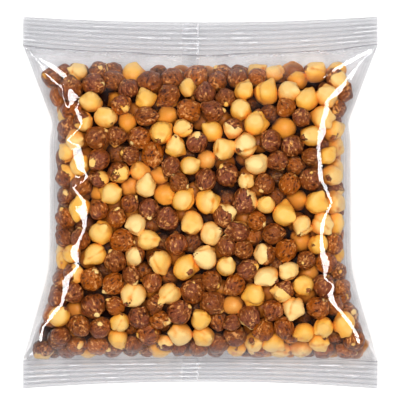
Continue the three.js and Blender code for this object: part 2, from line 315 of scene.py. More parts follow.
# %% Evenly spaced places
FILM_COLUMNS = 150
BODY_ROWS = 150
SEAL_ROWS = 42
FINE_STEPS = 500
SHOULDER_MIDDLE, SHOULDER_SPREAD, SHOULDER_DENSITY = 51 * MM, 9 * MM, 1.2
print("film columns", FILM_COLUMNS, "rows", BODY_ROWS + 2 * SEAL_ROWS)


def even_places(points, count, near_shoulder=0.0):
    """Shares of a fine line's steps that split its length evenly, or finer near the shoulders."""
    steps = np.linalg.norm(np.diff(points, axis=0), axis=1)
    from_shoulder = (np.abs(points[1:, 0]) - SHOULDER_MIDDLE) / SHOULDER_SPREAD
    steps = steps * (1 + near_shoulder * np.exp(-(from_shoulder ** 2)))
    length = np.concatenate([[0], np.cumsum(steps)])
    return np.interp(np.linspace(0, length[-1], count + 1), length, np.linspace(0, 1, len(length)))


def turn_share(share):
    """Shares 0 to 1 drawn closer together at both ends."""
    return (1 - np.cos(np.pi * share)) / 2


def body_rows(is_front):
    """The rows between the seals' inner lines. Front and back share their places along the bag."""
    crest_y = blend_of(BOTTOM_LINE, TOP_LINE, turn_share(np.linspace(0, 1, FINE_STEPS)))
    even = even_places(film_point(0.0, crest_y, True), BODY_ROWS)
    rows = []
    for y in blend_of(BOTTOM_LINE, TOP_LINE, turn_share(even)):
        fine = film_point(2 * turn_share(np.linspace(0, 1, FINE_STEPS)) - 1, y, is_front)
        shares = even_places(fine, FILM_COLUMNS, SHOULDER_DENSITY if is_front else 0.0)
        rows.append(film_point(2 * turn_share(shares) - 1, y, is_front))
    return rows


# %% Ribbed seals, and both sheets
SEAL_THICKNESS = 0.14 * MM
SEAL_OVERRUN = 3
TOP_RIBS, BOTTOM_RIBS = 6, 5
RIB_DEPTH = 0.42 * MM
RIBBED_SHARE = 0.9


def seal_rows(edge, line, edge_bow, line_bow, ribs):
    """A seal's middle plane, row by row from its outer edge to just outside the contents."""
    across = np.linspace(-1, 1, FILM_COLUMNS + 1)
    x = across * BAG_WIDTH / 2
    rows = []
    for share in np.linspace(0, 1, SEAL_ROWS + 1)[:-1]:
        y = blend_of(edge, line, share) + blend_of(edge_bow, line_bow, share) * (1 - across ** 2)
        rib = RIB_DEPTH / 2 * np.sin(2 * np.pi * ribs * share / RIBBED_SHARE) * (share < RIBBED_SHARE)
        rows.append(np.stack([x, y, seal_height(x) + rib], axis=-1))
    return rows


def film_sheet(is_front):
    """The front or the back, bottom edge first. The seals hold their thickness a few rows further in."""
    bottom = seal_rows(BOTTOM_EDGE, BOTTOM_LINE, BOTTOM_EDGE_BOW, BOTTOM_LINE_BOW, BOTTOM_RIBS)
    top = seal_rows(TOP_EDGE, TOP_LINE, TOP_EDGE_BOW, TOP_LINE_BOW, TOP_RIBS)
    sheet = np.array(bottom + body_rows(is_front) + top[::-1])
    gap = np.ones(sheet.shape[:2]) * SEAL_THICKNESS / 2
    gap[[0, -1], :] = 0
    gap[:, [0, -1]] = 0
    gap[SEAL_ROWS + SEAL_OVERRUN:-SEAL_ROWS - SEAL_OVERRUN] = 0
    sheet[..., 2] += gap if is_front else -gap
    return sheet


front_sheet, back_sheet = film_sheet(True), film_sheet(False)
print("film grid", front_sheet.shape[:2])

# %% [markdown]
# ## One closed film
# Each sheet becomes a grid of faces. The two grids share their outline, so merging the points that
# coincide closes them into one film. Marks on the points tell the finish where the seals lie, where
# a rib has its foot or its crest, and where a crease runs along the seal's inner line.

# %% Marks along the seals
CREASE_START = 0.95
CREASE_ROW, CREASE_HALF_WIDTH = SEAL_ROWS - 0.4, 0.9
CREASE_SWINGS = ((1.1, 9), (0.6, 4))
CRINKLE_START, CRINKLE_ROWS = 0.8, 6
print("crease about row", CREASE_ROW)


def rib_mark_at(row, column, ribs):
    """1 at the foot of a seal's ribs and on its edge, -1 on their crests, and 2 in a crease inside."""
    if row <= 1:
        return 1.0
    if row < SEAL_ROWS * CREASE_START:
        return -math.sin(2 * math.pi * ribs * row / SEAL_ROWS / RIBBED_SHARE)
    crease_row = CREASE_ROW + sum(rows * math.sin(column / columns) for rows, columns in CREASE_SWINGS)
    return 2 * math.exp(-(((row - crease_row) / CREASE_HALF_WIDTH) ** 2))


def seal_mark_at(row):
    """1 in a seal, and from its inner line a fading trace of its crinkles."""
    rows_inside = row - SEAL_ROWS
    return 1.0 if rows_inside <= 0 else CRINKLE_START * math.exp(-rows_inside / CRINKLE_ROWS)


# %% From a grid of points to a mesh
WELD_DISTANCE = 0.01 * MM
FOLDED_ANGLE = math.radians(120)


def add_sheet(bm, sheet, is_front, marks):
    """Lay a grid over a sheet's points, with its faces turned outwards."""
    seal_mark, rib_mark = marks
    rows, columns = sheet.shape[0] - 1, sheet.shape[1] - 1
    made = bmesh.ops.create_grid(bm, x_segments=columns, y_segments=rows, size=1)
    for vert in made["verts"]:
        column = round((vert.co.x + 1) / 2 * columns)
        row = round((vert.co.y + 1) / 2 * rows)
        vert.co = sheet[row, column]
        row_from_end = min(row, rows - row)
        vert[seal_mark] = seal_mark_at(row_from_end)
        ribs = BOTTOM_RIBS if row < rows / 2 else TOP_RIBS
        vert[rib_mark] = rib_mark_at(row_from_end, column, ribs)
    if not is_front:
        faces = {face for vert in made["verts"] for face in vert.link_faces}
        bmesh.ops.reverse_faces(bm, faces=list(faces))


def closed_film(front, back):
    """Merge both sheets, and keep their edges sharp where the film is folded over."""
    bm = bmesh.new()
    # Both layers are made before either is fetched, because a new layer makes older handles stale.
    for name in ("seal", "rib"):
        bm.verts.layers.float.new(name)
    seal_mark, rib_mark = (bm.verts.layers.float[name] for name in ("seal", "rib"))
    add_sheet(bm, front, True, (seal_mark, rib_mark))
    add_sheet(bm, back, False, (seal_mark, rib_mark))
    bmesh.ops.remove_doubles(bm, verts=bm.verts, dist=WELD_DISTANCE)
    bm.normal_update()
    for edge in bm.edges:
        edge.smooth = edge.calc_face_angle(0.0) < FOLDED_ANGLE
    return bm


bare_film = closed_film(front_sheet, back_sheet)
inner_volume = bare_film.calc_volume(signed=True)
wall_tree = BVHTree.FromBMesh(bare_film)
open_edges = sum(not edge.is_manifold for edge in bare_film.edges)
print("inner volume", round(inner_volume * 1e6, 1), "ml, open edges", open_edges)

# %% [markdown]
# ## Packing the chickpeas
# Hundreds of chickpeas were poured in and pressed together by the film. A physics simulation could
# do this, but a simple rule is quicker and always gives the same heap: start with small balls at
# random, let them grow, and again and again push touching balls apart and back inside the film.
# Near the seals and the sides the bag is too flat for a chickpea, and the photo shows empty film
# there, most of all in the upper corners. So the heap also keeps to limits of its own.

# %% Sizes and numbers of chickpeas
SEED = 11
CHICKPEA_RADIUS = 4.25 * MM
RADIUS_SPREAD = 0.42 * MM
SMALLEST, LARGEST = 3.0 * MM, 5.1 * MM
PACKED_SHARE = 0.60

draws = np.random.default_rng(SEED)
ball_volume = 4 / 3 * math.pi * CHICKPEA_RADIUS ** 3
count = int(PACKED_SHARE * inner_volume / ball_volume)
radii = np.clip(draws.normal(CHICKPEA_RADIUS, RADIUS_SPREAD, count), SMALLEST, LARGEST)
print("chickpeas", count)

# %% A random start
START_DEPTH = 0.6


def wall_distances(centres):
    """For each centre, its depth under the film and the film's outward direction there."""
    depths, outward = np.zeros(len(centres)), np.zeros((len(centres), 3))
    for i, centre in enumerate(centres):
        place, normal, _, _ = wall_tree.find_nearest(Vector(centre))
        depths[i] = (place - Vector(centre)).dot(normal)
        outward[i] = normal
    return depths, outward


def scattered_start():
    """Random places in the bag's box, kept where they are deep enough under the film."""
    chosen = np.zeros((0, 3))
    low, high = np.array(bag_low), np.array(bag_high)
    while len(chosen) < count:
        tries = low + (high - low) * draws.random((count, 3))
        depths, _ = wall_distances(tries)
        chosen = np.concatenate([chosen, tries[depths > START_DEPTH * CHICKPEA_RADIUS]])
    return chosen[:count]


centres = scattered_start()
print("started", len(centres))

# %% Pushing touching balls apart
PAIR_REACH = 3.2


def touching_pairs(centres):
    """Pairs of balls that touch, or come near enough to touch in the next few steps."""
    gaps = np.linalg.norm(centres[:, None] - centres[None], axis=2)
    first, second = np.nonzero(gaps < PAIR_REACH * CHICKPEA_RADIUS)
    return first[first < second], second[first < second]


def push_apart(centres, size, pairs):
    """Move each overlapping pair apart by half its overlap each."""
    first, second = pairs
    apart = centres[first] - centres[second]
    distance = np.linalg.norm(apart, axis=1) + 1e-9
    overlap = np.maximum(size[first] + size[second] - distance, 0)
    push = apart * (overlap / distance / 2)[:, None]
    np.add.at(centres, first, push)
    np.add.at(centres, second, -push)


# %% Keeping them in the bag
FILM_GIVE = 0.6 * MM
SIDE_CLEARANCE = 2.9 * MM
TOP_CLEARANCE = 4.0 * MM
BOTTOM_CLEARANCE = 0.6 * MM
CORNER_START, CORNER_REACH, CORNER_DROP = 50 * MM, 12 * MM, 6 * MM
print("top clearance", round(TOP_CLEARANCE / MM, 1), "mm, in a corner up to",
      round((TOP_CLEARANCE + CORNER_DROP) / MM, 1), "mm")


def heap_limits(centres):
    """How far to the side, and how low and high along the bag, the heap reaches at each centre."""
    side = half_width(np.clip(centres[:, 1], BOTTOM_LINE, TOP_LINE)) - SIDE_CLEARANCE
    middle = 1 - (2 * centres[:, 0] / BAG_WIDTH) ** 2
    lowest = BOTTOM_LINE + BOTTOM_LINE_BOW * middle + BOTTOM_CLEARANCE
    in_corner = np.clip((np.abs(centres[:, 0]) - CORNER_START) / CORNER_REACH, 0, 1)
    highest = TOP_LINE + TOP_LINE_BOW * middle - TOP_CLEARANCE - CORNER_DROP * in_corner ** 2
    return side, lowest, highest


def keep_inside(centres, size):
    """Move balls back under the film and within the heap's limits."""
    depths, outward = wall_distances(centres)
    missing = np.maximum(size - FILM_GIVE - depths, 0)
    centres -= outward * missing[:, None]
    side, _, _ = heap_limits(centres)
    centres[:, 0] = np.clip(centres[:, 0], size - side, side - size)
    _, lowest, highest = heap_limits(centres)
    centres[:, 1] = np.clip(centres[:, 1], lowest + size, highest - size)


# %% Growing them to their full size
PACK_STEPS, GROWTH_STEPS, PAIR_STEPS = 200, 100, 8
START_SIZE, GROWTH = 0.55, 0.45

for step in range(PACK_STEPS):
    size = radii * min(1, START_SIZE + GROWTH * step / GROWTH_STEPS)
    if step % PAIR_STEPS == 0:
        pairs = touching_pairs(centres)
    push_apart(centres, size, pairs)
    keep_inside(centres, size)
print("packed in", PACK_STEPS, "steps")

# %% How deep each chickpea lies in the heap
depths, outward = wall_distances(centres)
side, lowest, highest = heap_limits(centres)
from_sides = side - np.abs(centres[:, 0])
from_ends = np.minimum(centres[:, 1] - lowest, highest - centres[:, 1])
heap_depths = np.min([depths, from_sides, from_ends], axis=0)
first, second = touching_pairs(centres)
gaps = np.linalg.norm(centres[first] - centres[second], axis=1)
overlaps = np.maximum(radii[first] + radii[second] - gaps, 0)
print("largest overlap", round(overlaps.max() / MM, 2), "mm")
print("mean depth", round(depths.mean() / MM, 1), "mm")

# %% [markdown]
# ## Drawing the film over the chickpeas
# The film is tight, so each chickpea that it touches lifts it in a shallow dome, and it spans
# straight from one to the next. A shallow bowl-shaped cap over each crown gives that: the film takes
# the highest cap at every point, and is then smoothed, as a film can't bend sharply. Along the
# shoulders it is so tight that the domes all but vanish, and the streaks stay unbroken.

# %% Caps over the crowns
CAP_RADIUS = 3.4 * CHICKPEA_RADIUS
CAP_CLEARANCE = 0.1 * MM
TOUCH_GAP = 0.2 * MM
SMOOTH_PASSES = 18
CHUNK = 2000
touches_film = depths < radii + TOUCH_GAP
print("touching the film", touches_film.sum())


def sheet_normals(sheet, is_front):
    """Outward directions, from the grid's own rows and columns."""
    along_rows = np.gradient(sheet, axis=0)
    along_columns = np.gradient(sheet, axis=1)
    normals = np.cross(along_columns, along_rows)
    normals /= np.linalg.norm(normals, axis=2, keepdims=True) + 1e-12
    return normals if is_front else -normals


def cap_heights(points, crowns, lifts):
    """For each point of the film, how high the caps over the crowns lift it."""
    height = np.zeros(len(points))
    for start in range(0, len(points), CHUNK):
        part = points[start:start + CHUNK]
        away = np.sum((part[:, None] - crowns[None]) ** 2, axis=2)
        height[start:start + CHUNK] = np.max(lifts - away / (2 * CAP_RADIUS), axis=1)
    return np.maximum(height, 0)


def smoothed(height):
    """Average each point with its neighbours, again and again."""
    for _ in range(SMOOTH_PASSES):
        for axis in (0, 1):
            before = np.roll(height, 1, axis=axis)
            after = np.roll(height, -1, axis=axis)
            height = height / 2 + (before + after) / 4
    return height


# %% The lifted film, tighter along the shoulders
TIGHTNESS, TIGHT_SPREAD = 0.93, 6 * MM
EDGE_ROWS = 4


def shoulder_distance(points, side):
    """How far to the side each point is from the left (-1) or right (1) shoulder line."""
    kinks = np.array(sorted(RIGHT_SHOULDER if side > 0 else LEFT_SHOULDER)) * MM
    return np.abs(points[..., 0] * side - np.interp(points[..., 1], kinks[:, 0], kinks[:, 1]))


def lifted_sheet(sheet, is_front):
    """A sheet drawn over the chickpeas. The lift fades out at the seals and the sides."""
    body = slice(SEAL_ROWS, len(sheet) - SEAL_ROWS)
    points = sheet[body]
    crowns = centres[touches_film] + outward[touches_film] * depths[touches_film, None]
    lifts = radii[touches_film] - depths[touches_film] + CAP_CLEARANCE
    height = smoothed(cap_heights(points.reshape(-1, 3), crowns, lifts).reshape(points.shape[:2]))
    usual_lift = np.median(height[height > 0])
    if is_front:
        from_shoulder = np.minimum(shoulder_distance(points, -1), shoulder_distance(points, 1))
        tight = TIGHTNESS * np.exp(-((from_shoulder / TIGHT_SPREAD) ** 2))
        height = blend_of(height, usual_lift, tight)
    rows_in = np.minimum(np.arange(height.shape[0]), np.arange(height.shape[0])[::-1])
    columns_in = np.minimum(np.arange(height.shape[1]), np.arange(height.shape[1])[::-1])
    fade = np.clip(rows_in / EDGE_ROWS, 0, 1)[:, None] * np.clip(columns_in / EDGE_ROWS, 0, 1)[None]
    lifted = sheet.copy()
    lifted[body] += sheet_normals(sheet, is_front)[body] * (height * fade)[..., None]
    if is_front:
        with_facets(lifted[body], usual_lift)
    lifted[..., 2] = np.maximum(lifted[..., 2], 0)
    return lifted


film = closed_film(lifted_sheet(front_sheet, True), lifted_sheet(back_sheet, False))
film_tree = BVHTree.FromBMesh(film)
print("film top", round(max(vert.co.z for vert in film.verts) / MM, 2), "mm")

# %% [markdown]
# ## Handing pieces to the frame
# Every finished mesh becomes one object that stays at the origin, with its place in its points. It is
# parented to the body it rides on, and the CAD node it stands in for is hidden. Nothing on the bag
# moves, so all pieces ride on the root body, and all of them stand in for the one node, the bag.

# %% Helpers for finished pieces
def show(name, mesh, material):
    """Link a mesh as a piece at the origin, riding with the bag, in the CAD node's place."""
    mesh.materials.append(material)
    piece = bpy.data.objects.new(name, mesh)
    scene.collection.objects.link(piece)
    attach(piece, "root")
    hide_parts("bag")
    print(name, len(mesh.polygons), "faces")
    return piece


def mesh_of(bm, name, smooth=True):
    mesh = bpy.data.meshes.new(name)
    bm.to_mesh(mesh)
    bm.free()
    mesh.polygons.foreach_set("use_smooth", [smooth] * len(mesh.polygons))
    return mesh


# %% [markdown]
# ## One chickpea
# A roasted chickpea is a ball with a pointed beak, a cleft that runs down one side from the beak, a
# few wide lobes, small nubs and dents. A cube cut into small squares and swollen into a ball makes an
# even mesh without poles. Each point of it is then moved in or out by those features, whose numbers,
# places and sizes differ from one chickpea to the next.

# %% The round start
def round_ball(cuts):
    """A cube's faces cut up and swollen to a ball of radius 1, as points and triangles."""
    bm = bmesh.new()
    bmesh.ops.create_cube(bm, size=2)
    bmesh.ops.subdivide_edges(bm, edges=bm.edges, cuts=cuts, use_grid_fill=True)
    for vert in bm.verts:
        vert.co = Vector([math.tan(c * math.pi / 4) for c in vert.co]).normalized()
    bmesh.ops.triangulate(bm, faces=bm.faces)
    bm.verts.ensure_lookup_table()
    points = np.array([vert.co for vert in bm.verts])
    faces = np.array([[vert.index for vert in face.verts] for face in bm.faces])
    bm.free()
    return points, faces


FINE_BALL, PLAIN_BALL, INNER_BALL = round_ball(11), round_ball(5), round_ball(3)
print("ball faces", [len(faces) for _, faces in (FINE_BALL, PLAIN_BALL, INNER_BALL)])


# %% Helpers on the ball
def smooth_step(low, high, value):
    """0 below low, 1 above high, smooth between."""
    share = np.clip((value - low) / (high - low), 0, 1)
    return share * share * (3 - 2 * share)


def unit(vector):
    return np.asarray(vector) / np.linalg.norm(vector)


def angle_from(points, direction):
    return np.arccos(np.clip(points @ unit(direction), -1, 1))


# %% Lumps, flats and bulges
LUMP_WAVES = 6
FLAT_BLEND, FLAT_EDGE = 0.16, 0.05
BULGE_POWER = 1.8


def soft_lumps(points, rng, scale):
    """A smooth random field on the ball, about -1 to 1: a few waves in random directions."""
    field = np.zeros(len(points))
    for _ in range(LUMP_WAVES):
        direction = rng.normal(size=3)
        field += np.sin(points @ direction * scale + rng.uniform(0, 2 * math.pi))
    return field / math.sqrt(LUMP_WAVES)


def flattened(points, radius, rng, flats, depth):
    """Cut the form softly by a few planes, as neighbours in a pod flatten each other."""
    for _ in range(flats):
        towards = np.maximum(points @ unit(rng.normal(size=3)), FLAT_EDGE)
        plane = (1 - rng.uniform(*depth)) / towards
        radius = smooth_min(radius, plane, FLAT_BLEND)
    return radius


def bulges(points, rng, count, width, height):
    """Round bumps in random places, or dents where the height is below zero."""
    raised = np.zeros(len(points))
    for _ in range(rng.integers(*count)):
        from_middle = angle_from(points, rng.normal(size=3)) / rng.uniform(*width)
        raised += rng.uniform(*height) * np.exp(-(from_middle ** BULGE_POWER))
    return raised


# %% The form of one chickpea, in shares of its radius and in radians
LEAN, TEARDROP, SQUASH = 0.14, 0.04, 0.05
FLATS, FLAT_DEPTH = (0, 3), (0.01, 0.06)
CLEFT_WIDTH, CLEFT_RUN, CLEFT_END = 0.16, (-0.35, 0.45), 0.5
BEAK_WIDTH, BEAK_POWER = (0.22, 0.34), 1.7
BEAK_FOOT, BEAK_FOOT_WIDTH = 0.5, 0.2
LUMP_HEIGHT, LUMP_SCALE, WRINKLE_SCALE = 0.03, 2.6, 8.0
ALONG_BEAK = (1, 1, 0.45)
CLEFT_SHADE, FOOT_SHADE, DENT_SHADE, CLEAR_TIP = 0.6, 0.4, 2.5, 0.3


def chickpea_form(points, rng, features):
    """A chickpea of size 1 over the round start's points. The beak points along +Z.

    It also gives what the finish needs: how creased, how raised and how far from the beak's tip
    each point is.
    """
    lean = [rng.normal(0, LEAN), rng.normal(0, LEAN), 1.0]
    angle = angle_from(points, lean)
    radius = 1 + TEARDROP * np.cos(angle)
    radius = flattened(points, radius, rng, rng.integers(*FLATS), FLAT_DEPTH)
    raised = bulges(points, rng, **features["nubs"])
    dented = bulges(points, rng, **features["dents"])
    radius += bulges(points, rng, **features["lobes"]) + raised + dented
    in_cleft = np.exp(-((points[:, 1] / CLEFT_WIDTH) ** 2)) * smooth_step(*CLEFT_RUN, points[:, 0])
    radius -= rng.uniform(*features["cleft"]) * in_cleft * (1 - np.exp(-((angle / CLEFT_END) ** 2)))
    beak_width = rng.uniform(*BEAK_WIDTH)
    radius += rng.uniform(*features["beak"]) * np.exp(-((angle / beak_width) ** BEAK_POWER))
    radius += LUMP_HEIGHT * soft_lumps(points, rng, LUMP_SCALE)
    radius += features["wrinkles"] * soft_lumps(points * ALONG_BEAK, rng, WRINKLE_SCALE)
    squash = 1 + rng.normal(0, SQUASH, 3)
    off_tip = 1 - np.exp(-((angle / CLEAR_TIP) ** 2))
    foot = np.exp(-(((angle - BEAK_FOOT) / BEAK_FOOT_WIDTH) ** 2))
    # How creased each point is. On bare kernels the finish turns it into painted shade.
    crease = CLEFT_SHADE * in_cleft * off_tip + FOOT_SHADE * foot - DENT_SHADE * dented
    return radius[:, None] * points * squash, crease, raised, angle


# %% [markdown]
# ## Kinds of chickpeas
# More than half of the chickpeas still have their brown skin, dark or reddish. Most others are
# bare, pale or golden, and a few are half peeled. The skin share is worked out for every point: it is
# 1 where skin covers the kernel and 0 where the kernel shows. The finish reads it, so a crack in the
# skin, a nub rubbed bare or a scrap left at the beak belongs to the chickpea and turns with it.

# %% Kinds, with their shares and features
BROWN_FORM = dict(
    beak=(0.18, 0.42), cleft=(0.02, 0.12), wrinkles=0.03,
    lobes=dict(count=(2, 4), width=(0.45, 0.7), height=(0.02, 0.10)),
    nubs=dict(count=(2, 5), width=(0.22, 0.36), height=(0.06, 0.22)),
    dents=dict(count=(0, 3), width=(0.3, 0.5), height=(-0.10, -0.03)))
KERNEL_FORM = dict(
    beak=(0.28, 0.50), cleft=(0.04, 0.15), wrinkles=0.01,
    lobes=dict(count=(2, 4), width=(0.45, 0.65), height=(0.04, 0.16)),
    nubs=dict(count=(3, 7), width=(0.22, 0.34), height=(0.10, 0.30)),
    dents=dict(count=(1, 4), width=(0.3, 0.5), height=(-0.14, -0.04)))
KINDS = {
    "dark_brown": dict(share=0.29, slot="brown_skin", form=BROWN_FORM),
    "red_brown": dict(share=0.25, slot="brown_skin", form=BROWN_FORM),
    "golden": dict(share=0.20, slot="golden_kernel", form=KERNEL_FORM),
    "pale": dict(share=0.17, slot="golden_kernel", form=KERNEL_FORM),
    "half_peeled": dict(share=0.09, slot="golden_kernel", form=BROWN_FORM | dict(nubs=KERNEL_FORM["nubs"])),
}
print("kinds", {name: kind["share"] for name, kind in KINDS.items()})

# %% Where skin is left
PATCH_SCALE = 3.0
BARE_TIP_WIDTH, BARE_TIP = (0.16, 0.36), (0.4, 1.2)
CRACKED, RUBBED = (0.0, 0.8), (0.0, 3.0)
SCRAP_WIDTH, SCRAPS, SKIN_LINES = 0.28, [0, 0, 0.5, 0.8], [0, 0, 1]
HALF_LEFT = (-0.2, 0.4)


def skin_share(kind, points, crease, raised, angle, rng):
    """Brown: bare at the tip, in cracks and on rubbed nubs. Bare: scraps. Half peeled: one side's skin."""
    lumps = soft_lumps(points, rng, PATCH_SCALE)
    if kind in ("dark_brown", "red_brown"):
        tip = np.exp(-((angle / rng.uniform(*BARE_TIP_WIDTH)) ** 2)) * rng.uniform(*BARE_TIP)
        crack = crease * rng.uniform(*CRACKED)
        return 1 - 0.9 * tip - 0.8 * crack - raised * rng.uniform(*RUBBED) + 0.16 * lumps
    if kind in ("golden", "pale"):
        scrap = np.exp(-((angle / SCRAP_WIDTH) ** 2)) * rng.choice(SCRAPS)
        return 0.05 + scrap + 0.4 * crease * rng.choice(SKIN_LINES) + 0.06 * lumps
    covered = points @ unit(rng.normal(size=3))
    return 0.5 + 1.3 * (covered + rng.uniform(*HALF_LEFT)) + 0.35 * lumps


# %% [markdown]
# ## Joining them into pieces
# A mesh for each of hundreds of chickpeas would be slow, so all chickpeas of one kind are joined
# into one piece. Each has a form of its own and is set down at its place, with its beak laid towards
# the widest of a few gaps between its neighbours. It has many faces in front, fewer at the sides and
# below, fewest in the second layer. Points that would cut the film are pressed back under it, as the
# tight film does. Attributes carry what the finish needs: the point on the chickpea's own ball, the
# skin share, how deep in a crease the point is, how many radii it is sunk in the heap, and two
# random tones. The crease and the sinking are turned into painted shade and painted light.

# %% The layers of the heap
NEAR_FILM = 1.5
SECOND_LAYER = 3.7
FACING_UP = 0.3

kinds = draws.choice(list(KINDS), size=count, p=[kind["share"] for kind in KINDS.values()])
outer = heap_depths < NEAR_FILM * radii
in_front = outer & (outward[:, 2] > FACING_UP)
second_layer = ~outer & (heap_depths < SECOND_LAYER * radii)
print("outer", outer.sum(), "in front", in_front.sum(), "second layer", second_layer.sum())


def ball_for(i):
    if in_front[i]:
        return FINE_BALL
    return PLAIN_BALL if outer[i] else INNER_BALL


# %% Turning the beak to a gap
BEAK_TRIES = 6
BEAK_REACH, BEAK_RISE = 1.3, (0.25, 0.4)


def room_at(point, i):
    """How far a point is from the heap's limits and from the chickpeas other than number i."""
    away = np.linalg.norm(centres - point, axis=1) - radii
    away[i] = np.inf
    side, lowest, highest = heap_limits(point[None])
    return min(away.min(), (side - abs(point[0]))[0], (point[1] - lowest)[0], (highest - point[1])[0])


def lying_turn(i, rng):
    """A turn that lays the beak about along the film, towards the widest of a few gaps."""
    widest, beak_way = -np.inf, None
    for _ in range(BEAK_TRIES):
        sideways = unit(np.cross(outward[i], rng.normal(size=3)))
        way = unit(sideways + outward[i] * rng.normal(*BEAK_RISE))
        room = room_at(centres[i] + way * radii[i] * BEAK_REACH, i)
        if room > widest:
            widest, beak_way = room, way
    first = unit(np.cross(beak_way, rng.normal(size=3)))
    return np.stack([first, np.cross(beak_way, first), beak_way], axis=1)


# %% Pressing points back under the film
PRESS_GAP = 0.05 * MM
NEAR_DEPTH, LONG_REACH = 1.2 * MM, 1.2


def may_touch_film(i, away, reach):
    """Which points of chickpea number i may touch the film. Under the creased shoulders, all may."""
    by_shoulder = in_front[i] and abs(centres[i, 0]) > SHOULDER_MIDDLE - SHOULDER_SPREAD
    return (away > depths[i] - NEAR_DEPTH) | (reach > LONG_REACH * reach.mean()) | by_shoulder


def press_inside(points, near_film):
    """Points of a chickpea that the film would cut are pressed back just under it."""
    for i in np.nonzero(near_film)[0]:
        place, normal, _, _ = film_tree.find_nearest(Vector(points[i]))
        under = (place - Vector(points[i])).dot(normal)
        if under < PRESS_GAP:
            points[i] -= np.array(normal) * (PRESS_GAP - under)


# %% Setting one down
def set_down(i, kind, rng):
    """Chickpea number i in its place: its points, its faces and its marks."""
    ball, faces = ball_for(i)
    form, crease, raised, angle = chickpea_form(ball, rng, KINDS[kind]["form"])
    reach = np.linalg.norm(form, axis=1)
    placed = form / reach.mean() @ lying_turn(i, rng).T * radii[i] + centres[i]
    placed[:, 1] = np.maximum(placed[:, 1], heap_limits(placed)[1])
    away = (placed - centres[i]) @ outward[i]
    if outer[i]:
        press_inside(placed, may_touch_film(i, away, reach))
    marks = {
        "own_place": ball,
        "skin": skin_share(kind, ball, crease, raised, angle, rng),
        "crease": crease,
        # How many radii below the heap's surface. The finish turns it into painted light and shade.
        "sunk": (heap_depths[i] - away) / CHICKPEA_RADIUS,
        "tone": np.full(len(placed), rng.random()),
        "warmth": np.full(len(placed), rng.random()),
    }
    return placed, faces, marks


# %% Joining one kind
def joined_chickpeas(kind, rng):
    """One mesh of a kind's chickpeas in the two outer layers, with their marks as attributes."""
    places, corners, all_marks, offset = [], [], [], 0
    for i in np.nonzero((kinds == kind) & (outer | second_layer))[0]:
        placed, faces, marks = set_down(i, kind, rng)
        places.append(placed)
        corners.append(faces + offset)
        all_marks.append(marks)
        offset += len(placed)
    mesh = bpy.data.meshes.new(kind + "_chickpeas")
    mesh.from_pydata(np.concatenate(places), [], np.concatenate(corners))
    mesh.polygons.foreach_set("use_smooth", [True] * len(mesh.polygons))
    for name in all_marks[0]:
        values = np.concatenate([marks[name] for marks in all_marks])
        is_vector = values.ndim == 2
        mark = mesh.attributes.new(name, "FLOAT_VECTOR" if is_vector else "FLOAT", "POINT")
        mark.data.foreach_set("vector" if is_vector else "value", values.ravel())
    return mesh


# %% [markdown]
# ## Writing materials as sums
# A material is a sum over patterns: a colour here, a little more of another there. Wrapping a node
# socket in a small class lets that sum be written as one, and the Math nodes are added behind it.

# %% A socket that can be added and multiplied
class Wire:
    """A node's output. Sums and products written with it add the Math nodes they need."""

    def __init__(self, socket):
        self.socket = socket
        self.tree = socket.id_data

    def math(self, operation, *others):
        return add_node(self.tree, "ShaderNodeMath", {"operation": operation}, [self, *others])

    def __add__(self, other):
        return self.math("ADD", other)

    def __sub__(self, other):
        return self.math("SUBTRACT", other)

    def __rsub__(self, other):
        return self.math("MULTIPLY_ADD", -1.0, other)

    def __mul__(self, other):
        return self.math("MULTIPLY", other)

    def __pow__(self, other):
        return self.math("POWER", other)

    __radd__, __rmul__ = __add__, __mul__

    def ramp(self, low, high):
        """0 below low, 1 above high, smooth between."""
        settings = {"interpolation_type": "SMOOTHSTEP"}
        inputs = {"Value": self, "From Min": low, "From Max": high}
        return add_node(self.tree, "ShaderNodeMapRange", settings, inputs)


# %% Any other node
def add_node(tree, kind, settings, inputs, output=0):
    """Add a node: its settings first, then values or links for its sockets."""
    node = tree.nodes.new(kind)
    for name, value in settings.items():
        setattr(node, name, value)
    named = inputs.items() if isinstance(inputs, dict) else enumerate(inputs)
    for name, value in named:
        if isinstance(value, Wire):
            tree.links.new(value.socket, node.inputs[name])
        else:
            node.inputs[name].default_value = value
    return Wire(node.outputs[output])


def attribute(tree, name, output="Fac"):
    return add_node(tree, "ShaderNodeAttribute", {"attribute_name": name}, {}, output)


def object_place(tree):
    return add_node(tree, "ShaderNodeTexCoord", {}, {}, "Object")


def across_bag(tree):
    """The place's X, so that a finish can differ from left to right."""
    return add_node(tree, "ShaderNodeSeparateXYZ", {}, {"Vector": object_place(tree)}, "X")


def stretched(tree, vector, scale):
    """A pattern's place multiplied axis by axis. A small number draws the pattern out along its axis."""
    return add_node(tree, "ShaderNodeVectorMath", {"operation": "MULTIPLY"}, [vector, scale])


def noise(tree, vector, shift, scale, detail=2.0, roughness=0.5):
    """Soft noise, 0 to 1, over a place. The shift moves to another part of the pattern."""
    inputs = {"Vector": vector, "W": shift, "Scale": scale, "Detail": detail, "Roughness": roughness}
    return add_node(tree, "ShaderNodeTexNoise", {"noise_dimensions": "4D"}, inputs)


# %% Colours in coats, and shaders
def mix_colour(tree, share, first, second):
    sockets = {"Factor": share, 6: first, 7: second}
    return add_node(tree, "ShaderNodeMix", {"data_type": "RGBA"}, sockets, output=2)


def painted(tree, colour, coats):
    """Lay coats over a colour. Each coat is a share, 0 to 1, and the coat's own colour."""
    for share, coat in coats:
        colour = mix_colour(tree, share, colour, coat)
    return colour


def bump(tree, strength, distance, height):
    inputs = {"Strength": strength, "Distance": distance, "Height": height}
    return add_node(tree, "ShaderNodeBump", {}, inputs)


def principled(tree, colour, roughness, **others):
    inputs = {"Base Color": colour, "Roughness": roughness}
    inputs.update({name.replace("_", " "): value for name, value in others.items()})
    return add_node(tree, "ShaderNodeBsdfPrincipled", {}, inputs)


def see_through(tree, tint):
    return add_node(tree, "ShaderNodeBsdfTransparent", {}, {"Color": tint})


def mix_shader(tree, share, first, second):
    return add_node(tree, "ShaderNodeMixShader", {}, [share, first, second])


